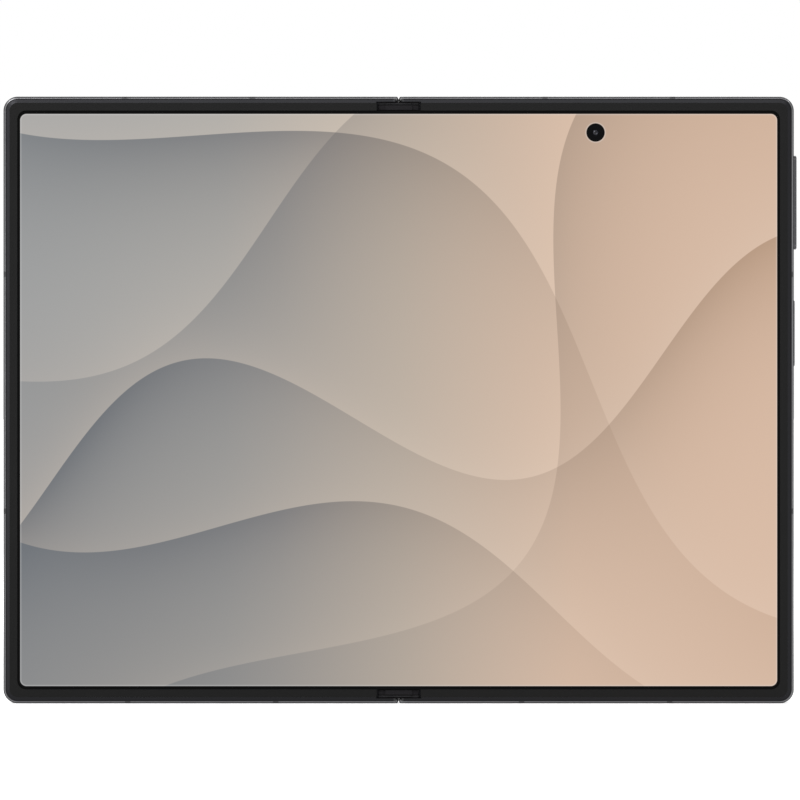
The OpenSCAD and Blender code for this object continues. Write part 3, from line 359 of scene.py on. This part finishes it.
def finishes():
    """One material for each slot of the record, by the slot's name."""
    metal = dict(Metallic=1.0)
    # name, colour, roughness, grain, depth, spread, and what else the finish has
    plain = [
        # frame_metal carries the painted edge highlight and the painted crease shade
        ("frame_metal", (37, 37, 39), 0.3, 2500, 0.0003, 0.02,
         dict(paint=painted_edge_light(0.9), uneven=0.015)),
        # key_metal is lighter than frame_metal partly as a painted sheen: the keys' grazing
        # reflection seen from the front
        ("key_metal", (76, 76, 78), 0.28, 2500, 0.0003, 0.03, dict(soften=0.06, **metal)),
        # antenna_plastic carries the same painted edge highlight, fainter, and the painted crease
        # shade
        ("antenna_plastic", (40, 40, 41), 0.5, 3000, 0.001, 0.05, dict(paint=painted_edge_light(0.35))),
        ("bezel_plastic", (19, 19, 19), 0.5, 3000, 0.0008, 0.04,
         dict(soften=0.05, Specular_IOR_Level=0.1)),
        ("hinge_steel", (174, 174, 176), 0.3, 900, 0.01, 0.15, dict(stretch=(1, 1, 0.05), **metal)),
        ("spine_metal", (84, 84, 87), 0.16, 2400, 0.004, 0.06, dict(stretch=(1, 1, 0.03), **metal)),
        ("trim_black", (27, 27, 28), 0.5, 3200, 0.004, 0.08,
         dict(soften=0.06, Specular_IOR_Level=0.15)),
        # cap_black carries painted shade in a groove and a painted highlight on a ledge
        ("cap_black", (32, 31, 33), 0.5, 3200, 0.002, 0.06,
         dict(paint=cap_painted_light, Specular_IOR_Level=0.03)),
        ("spring_brass", (220, 190, 130), 0.32, 900, 0.01, 0.15, metal),
        ("flex_polyimide", (173, 115, 49), 0.35, 1800, 0.01, 0.2, dict(stretch=(0.1, 1, 1))),
        ("battery_foil", (40, 40, 43), 0.42, 1200, 0.03, 0.2, {}),
        ("shield_tin", (197, 196, 192), 0.34, 1500, 0.02, 0.14, metal),
        ("copper", (206, 144, 100), 0.3, 1400, 0.02, 0.16, metal),
        ("magnet_nickel", (206, 205, 200), 0.2, 1500, 0.01, 0.1, metal),
        ("cover_gloss", (13, 13, 15), 0.09, 600, 0.001, 0.2,
         dict(soften=0.15, Specular_IOR_Level=0.4)),
        ("back_satin", (78, 80, 86), 0.42, 6000, 0.006, 0.08,
         dict(soften=0.15, Coat_Weight=0.15, Coat_Roughness=0.3)),
        ("plateau_glass", (52, 53, 58), 0.14, 900, 0.001, 0.1,
         dict(soften=0.12, Coat_Weight=0.5, Coat_Roughness=0.04)),
        ("display_black", (9, 9, 10), 0.12, 900, 0.001, 0.2, {}),
        ("camera_black", (8, 8, 9), 0.3, 3000, 0.002, 0.1, dict(Specular_IOR_Level=0.03)),
    ]
    made = [speckled(name, srgb(*colour), rough, grain, depth, spread, **more)
            for name, colour, rough, grain, depth, spread, more in plain]
    made += [turned_metal(), lens_glass(), flash_lens(), board()]
    return {t.name: t.material for t in made}


def turned_metal():
    """Rings cut on a lathe: fine circles about each rear lens."""
    t = Finish("lens_metal", Metallic=1.0)
    x, y = t.place()
    nearer = t.math("MINIMUM", t.away(x, y, REAR_X, UPPER_Y), t.away(x, y, REAR_X, LOWER_Y))
    rings = t.math("SINE", t.math("MULTIPLY", nearer, 60.0))  # a ring every 0.1 mm
    height = t.math("MULTIPLY_ADD", rings, 0.5, 0.5)
    t.colour(t.ramp(height, [(0, srgb(112, 113, 117)), (1, srgb(134, 135, 139))]))
    t.vary("Roughness", rings, 0.2, 0.3)
    t.bump(rings, 0.004 * MM, 0.6, 0.12 * MM)
    return t


def lens_glass():
    """Clear coated cover glass: mostly see-through, with the faintest haze and a mirror on it."""
    t = Finish("lens_glass", Roughness=0.03, Alpha=0.16)
    t.colour(t.ramp(t.noise(300, 2.0), [(0.3, srgb(12, 13, 17)), (0.7, srgb(20, 20, 25))]))
    return t


def flash_lens():
    """Prismatic window of a lamp: fine concentric steps over a warm disc."""
    t = Finish("flash_lens", Roughness=0.22, Coat_Weight=0.6)
    x, y = t.place()
    away = t.away(x, y, FLASH_X, UPPER_Y)
    t.colour(t.ramp(t.math("DIVIDE", away, FLASH_R), [
        (0.0, srgb(238, 214, 120)), (0.5, srgb(232, 222, 178)),
        (0.85, srgb(214, 214, 206)), (1.0, srgb(150, 150, 150))]))
    t.bump(t.math("SINE", t.math("MULTIPLY", away, 24.0)), 0.02 * MM, 0.7)
    return t


def board():
    """Circuit board: solder resist with copper tracks and pads under it."""
    t = Finish("board_green")
    tracks = t.noise(900, 0.0, kind="ShaderNodeTexVoronoi")
    fine = t.noise(2600, 2.0)
    base = t.ramp(tracks, [
        (0.08, srgb(150, 128, 62)), (0.16, srgb(18, 78, 52)), (0.6, srgb(14, 60, 42))])
    t.colour(t.mix(t.math("MULTIPLY", fine, 0.3), base, srgb(10, 44, 32)))
    t.vary("Roughness", fine, 0.28, 0.44)
    t.bump(tracks, 0.02 * MM, 0.5)
    return t


def lens_coating(name, tint, painted_glints=None):
    """Dark coated glass with a painted reflection: the coating's tint is painted in by how far the
    surface turns from the view.
    glints, where given, is the middle of a small lens, either side of which a painted highlight
    stands for light caught by its inner elements."""
    t = Finish(name, Roughness=0.05, Specular_IOR_Level=0.2, Coat_Weight=0.15, Coat_Roughness=0.02)
    # painted reflection: the coating's tint, by the angle to the view
    facing = t.node("ShaderNodeLayerWeight")
    facing.inputs[0].default_value = 0.35
    colour = t.ramp(facing.outputs["Facing"], [
        (0.0, srgb(5, 6, 9)), (0.12, tint), (0.35, srgb(12, 13, 20)), (1.0, srgb(6, 7, 10))])
    if painted_glints:
        x, y = t.place()
        # painted highlights: two glints beside the small lens's middle
        for side, level in ((-1, 0.5), (1, 0.3)):
            glint_spot = t.away(x, y, painted_glints[0] + side * 0.24, painted_glints[1] - side * 0.2)
            amount = t.math("MULTIPLY", t.smooth(glint_spot, 0.2, 0.08), level)
            colour = t.mix(amount, colour, srgb(120, 122, 130))
    t.colour(colour)
    return t.material


def dress():
    """Gives every CAD node its slot's finish, or its own where the slot is shared."""
    made = finishes()
    screen = screen_material()
    own = {"volume_key": "key_metal", "power_key": "key_metal",
           "inner_camera": "camera_black", "cover_camera": "camera_black",
           "spine_end_cap_top": "cap_black", "spine_end_cap_bottom": "cap_black"}
    for part in frame["record"]["subparts"]:
        slot = own.get(part["node"], part["material_slot"])
        materials = nodes[part["node"]].data.materials
        materials.clear()
        materials.append(made.get(slot, screen))
    return made, screen


# ---- Meshes ----


def piece(name, mesh, material):
    obj = bpy.data.objects.new(name, mesh)
    bpy.context.scene.collection.objects.link(obj)
    if material:
        mesh.materials.append(material)
    return obj


def smooth(mesh, angle=35):
    for p in mesh.polygons:
        p.use_smooth = True
    mesh.set_sharp_from_angle(angle=math.radians(angle))


def panel(name, side, columns, top, bottom, height_at, material):
    """A thin closed sheet over one half: columns are distances from the fold, and height_at gives
    half the sheet's height there. It carries the picture's coordinates in its UV map."""
    bm = bmesh.new()
    uv = bm.loops.layers.uv.new("UVMap")
    steps = [-1, -0.5, 0, 0.5, 1]
    grid = {}
    for level, z in enumerate((top, bottom)):
        for i, x in enumerate(columns):
            for k, f in enumerate(steps):
                grid[level, i, k] = bm.verts.new(row(side * x, f * height_at(x), z))
    quads = []
    last, rim = len(columns) - 1, len(steps) - 1
    for i in range(last):
        for k in range(rim):
            a = [(i, k), (i + 1, k), (i + 1, k + 1), (i, k + 1)]
            quads.append([grid[(0, *p)] for p in a])
            quads.append([grid[(1, *p)] for p in reversed(a)])
        for k, flip in ((0, False), (rim, True)):
            a = [grid[0, i, k], grid[1, i, k], grid[1, i + 1, k], grid[0, i + 1, k]]
            quads.append(a[::-1] if flip else a)
    for i, flip in ((0, True), (last, False)):
        for k in range(rim):
            a = [grid[0, i, k], grid[1, i, k], grid[1, i, k + 1], grid[0, i, k + 1]]
            quads.append(a[::-1] if flip else a)
    for q in quads:
        bm.faces.new(q if side > 0 else q[::-1])
    for f in bm.faces:
        for loop in f.loops:
            p = loop.vert.co / MM
            loop[uv].uv = (p.x / UV_W + 0.5, (p.z - HALF_H) / UV_H + 0.5)
    bmesh.ops.recalc_face_normals(bm, faces=bm.faces)
    mesh = bpy.data.meshes.new(name)
    bm.to_mesh(mesh)
    bm.free()
    smooth(mesh)
    return piece(name, mesh, material)


def lathe(name, profile, centre, material, outward=1, segments=96):
    """A closed solid of revolution about the screen's normal. profile holds (radius, height)
    pairs in millimetres, heights counted from the centre's z along outward."""
    bm = bmesh.new()
    rings = []
    cx, cy, cz = centre
    for r, h in profile:
        if r == 0:
            rings.append([bm.verts.new(row(cx, cy, cz + outward * h))])
            continue
        ring = []
        for k in range(segments):
            a = 2 * math.pi * k / segments
            x, y = cx + r * math.cos(a), cy + r * math.sin(a)
            ring.append(bm.verts.new(row(x, y, cz + outward * h)))
        rings.append(ring)
    pairs = list(zip(rings, rings[1:]))
    if len(rings[0]) > 1:
        pairs.append((rings[-1], rings[0]))
    for a, b in pairs:
        for k in range(segments):
            j = (k + 1) % segments
            face = [a[k % len(a)], a[j % len(a)], b[j % len(b)], b[k % len(b)]]
            face = list(dict.fromkeys(face))
            if len(face) > 2:
                bm.faces.new(face)
    bmesh.ops.recalc_face_normals(bm, faces=bm.faces)
    mesh = bpy.data.meshes.new(name)
    bm.to_mesh(mesh)
    bm.free()
    smooth(mesh)
    return piece(name, mesh, material)


def cut_hole(obj, x, y, radius, z0, z1):
    """Cuts a round hole along the screen's normal."""
    deep = z1 - z0
    cutter = lathe("cutter", [(0, 0), (radius, 0), (radius, deep), (0, deep)], (x, y, z0), None)
    modifier = obj.modifiers.new("hole", "BOOLEAN")
    modifier.object = cutter
    modifier.solver = "EXACT"
    shown = obj.evaluated_get(bpy.context.evaluated_depsgraph_get())
    cut = bpy.data.meshes.new_from_object(shown)
    obj.modifiers.clear()
    obj.data = cut
    bpy.data.objects.remove(cutter)
    smooth(cut)


# ---- Folding screen and the flexible circuit ----

# The sheet's faces, its half sizes and corners, and the half sizes of the strip that bends.
SCREEN_TOP, SCREEN_BOTTOM = 4.5, 4.12
PANEL_X, PANEL_Y, PANEL_R = 78.3, 59.55, 1.8
STRIP_X, STRIP_Y = 6.5, 59.1
BEND_COLUMNS = 26
# The flexible circuit: its faces, where it crosses the fold, half its width, and where it bends.
FLEX_TOP, FLEX_BOTTOM, FLEX_Y, FLEX_HALF = 2.18, 2.06, 21, 6.0
FLEX_COLUMNS = [0.3 * i for i in range(13)] + [5, 6.5, 8, 10.1]


def panel_height(x):
    """Half the screen's height at a distance from the fold, with its outer corners rounded."""
    if x <= STRIP_X:
        return STRIP_Y
    past = x - (PANEL_X - PANEL_R)
    if past <= 0:
        return PANEL_Y
    return PANEL_Y - PANEL_R + math.sqrt(max(PANEL_R ** 2 - past ** 2, 0))


def folding_screen(material):
    """The screen as two flat sheets that meet at the fold, with close columns over the strip that
    bends.
    """
    straight = PANEL_X - PANEL_R
    bend = [STRIP_X * i / BEND_COLUMNS for i in range(BEND_COLUMNS + 1)]
    flat = [STRIP_X + 0.01] + [12 + 8 * i for i in range(8)] + [straight]
    corner = [straight + PANEL_R * math.sin(math.radians(15 * i)) for i in range(1, 7)]
    for side, name in ((-1, "left"), (1, "right")):
        obj = panel(name + "_folding_screen", side, bend + flat + corner,
                    SCREEN_TOP, SCREEN_BOTTOM, panel_height, material)
        if side > 0:
            cut_hole(obj, PUNCH_X, PUNCH_Y, PUNCH_R, SCREEN_BOTTOM - 0.5, SCREEN_TOP + 0.5)
        if side < 0:
            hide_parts(name + "_screen_panel", "folding_screen_strip")
        else:
            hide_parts(name + "_screen_panel")
        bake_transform(obj)


def flex_circuit(material):
    """The circuit that crosses the fold, as two flat sheets beside the hinge, with close columns
    where it bends.
    """
    for side, name in ((-1, "left"), (1, "right")):
        obj = panel(name + "_flex_circuit", side, FLEX_COLUMNS, FLEX_TOP, FLEX_BOTTOM,
                    lambda x: FLEX_HALF, material)
        obj.data.transform(Matrix.Translation((0, 0, FLEX_Y * MM)))
        if side < 0:
            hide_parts("hinge_flex_cable")
        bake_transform(obj)


# ---- Cameras ----

# Heights that the stacks and lenses count from: under the rear windows, and under the screen.
REAR_GLASS_Z = -0.62
INNER_Z = 4.4
# Stepped black cones, as radius and height, and the coatings of the two rear lenses.
REAR_STACK = [(5.35, 0.0), (5.35, 0.26), (4.55, 0.26), (4.5, 0.1), (3.95, 0.1), (3.9, -0.1),
              (3.3, -0.1), (3.2, -0.3), (2.4, -0.3), (2.4, -0.9), (5.35, -0.9)]
INNER_STACK = [(1.8, 0.0), (1.8, -0.01), (0.88, -0.01), (0.84, -0.16), (0.5, -0.17),
               (0.52, -0.1), (0.8, -0.05), (1.1, 0.01), (1.55, 0.02)]
REAR_LENSES = [("upper", UPPER_Y, (52, 62, 118)), ("lower", LOWER_Y, (38, 82, 76))]


def dome(r, rise, base):
    """Profile of a shallow lens of radius r that stands on the height base."""
    arc = [math.radians(a) for a in range(10, 90, 10)]
    edge = [(r * math.cos(a), base + rise * math.sin(a)) for a in arc]
    return [(0, base), (r, base)] + edge + [(0, base + rise)]


def camera_pieces(name, stack, lens, place, outward, black, glass):
    """A stepped black cone round a lens, both turned about one axis."""
    cone = lathe(name + "_lens_cone", stack, place, black, outward)
    eye = lathe(name + "_front_lens", lens, place, glass, outward)
    for obj in (cone, eye):
        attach(obj, "right_half")


def cameras(made):
    """Cones and lenses for the two rear cameras and the one behind the screen."""
    black = made["camera_black"]
    for name, y, tint in REAR_LENSES:
        camera_pieces(name, REAR_STACK, dome(2.38, 0.8, -0.75), (REAR_X, y, REAR_GLASS_Z), -1,
                      black, lens_coating(name + "_coating", srgb(*tint)))
    # the inner camera's lens carries two painted glints
    camera_pieces("inner", INNER_STACK, dome(0.52, 0.12, -0.17), (PUNCH_X, PUNCH_Y, INNER_Z), 1,
                  black, lens_coating("inner_coating", srgb(30, 32, 48), (PUNCH_X, PUNCH_Y)))


# ---- Stage ----


FLOOR_SIZE = 40
AMBIENT = 0.62
# Name, place, size and watts of each lamp, in metres.
LAMPS = [
    ("key", (-0.55, -0.7, 0.85), (0.5, 0.5), 6.0),
    ("fill", (0.8, -0.6, 0.5), (0.8, 0.8), 0.4),
    ("back", (0.3, 0.9, 0.8), (0.7, 0.7), 4.0),
    ("top_strip", (0, -0.9, 0.7), (1.0, 0.2), 2.0),
    ("left_strip", (-0.7, -0.95, 0.1), (0.2, 1.0), 2.0),
    ("corner", (-0.8, -0.05, 0.9), (0.16, 0.16), 1.7),
    ("corner", (0.8, -0.05, 0.9), (0.16, 0.16), 1.7),
]
LAMP_AIM = Vector((0, 0, 0.06))
# Width of the view at the phone, and how far the view's middle lies to the right of the fold.
VIEW_W, VIEW_X = 163.25, 0.278


def seen_directly(t):
    """One for rays from the camera and for what mirrors and glass show, nought for other light."""
    path = t.node("ShaderNodeLightPath")
    mirrored = t.math("MAXIMUM", path.outputs["Is Glossy Ray"], path.outputs["Is Transmission Ray"])
    return t.math("MAXIMUM", path.outputs["Is Camera Ray"], mirrored)


def floor():
    """Pale floor that runs out into the white background, and keeps the shadow near the phone."""
    bpy.ops.mesh.primitive_plane_add(size=FLOOR_SIZE)
    obj = bpy.context.object
    obj.name = "floor"
    t = Finish("floor", Roughness=0.9, Specular_IOR_Level=0.0)
    t.colour(t.ramp(t.noise(30, 2.0), [(0.3, srgb(235, 235, 235)), (0.7, srgb(238, 238, 238))]))
    coords = t.node("ShaderNodeTexCoord")
    length = t.node("ShaderNodeVectorMath", operation="LENGTH")
    t.link(coords.outputs["Object"], length.inputs[0])
    glow = t.math("MULTIPLY_ADD", t.smooth(length.outputs["Value"], 0.15, 0.6), 0.6, 0.4)
    t.shader.inputs["Emission Color"].default_value = (1, 1, 1, 1)
    t.link(t.math("MULTIPLY", glow, seen_directly(t)), t.shader.inputs["Emission Strength"])
    obj.data.materials.append(t.material)


def world():
    """White for the camera and in mirrors, and a plain ambient light for the rest."""
    bpy.context.scene.world = bpy.data.worlds.new("studio")
    t = Tree(bpy.context.scene.world)
    back = t.tree.nodes["Background"]
    back.inputs["Color"].default_value = (1, 1, 1, 1)
    level = t.math("MULTIPLY_ADD", seen_directly(t), 1.0 - AMBIENT, AMBIENT)
    t.link(level, back.inputs["Strength"])


def lamp(name, place, size, watts):
    """A rectangular soft light that faces the middle of the phone."""
    data = bpy.data.lights.new(name, "AREA")
    data.shape = "RECTANGLE"
    data.size, data.size_y = size
    data.energy = watts
    obj = bpy.data.objects.new(name, data)
    bpy.context.scene.collection.objects.link(obj)
    obj.location = place
    obj.rotation_euler = (LAMP_AIM - Vector(place)).to_track_quat("-Z", "Y").to_euler()


def stage():
    floor()
    world()
    for settings in LAMPS:
        lamp(*settings)


def camera():
    """Straight at the opened screen through a long lens."""
    data = bpy.data.cameras.new("camera")
    obj = bpy.data.objects.new("camera", data)
    bpy.context.scene.collection.objects.link(obj)
    data.lens = 300
    data.sensor_width = 36
    data.sensor_fit = "HORIZONTAL"
    data.clip_end = 50
    away = VIEW_W * MM / 2 / math.tan(data.angle / 2)
    obj.location = (VIEW_X * MM, -BODY_T / 2 * MM - away, HALF_H * MM)
    obj.rotation_euler = (math.radians(90), 0, 0)
    bpy.context.scene.camera = obj
    bpy.context.scene.view_settings.view_transform = "Standard"


camera()
made, screen = dress()
folding_screen(screen)
flex_circuit(made["flex_polyimide"])
cameras(made)
stage()
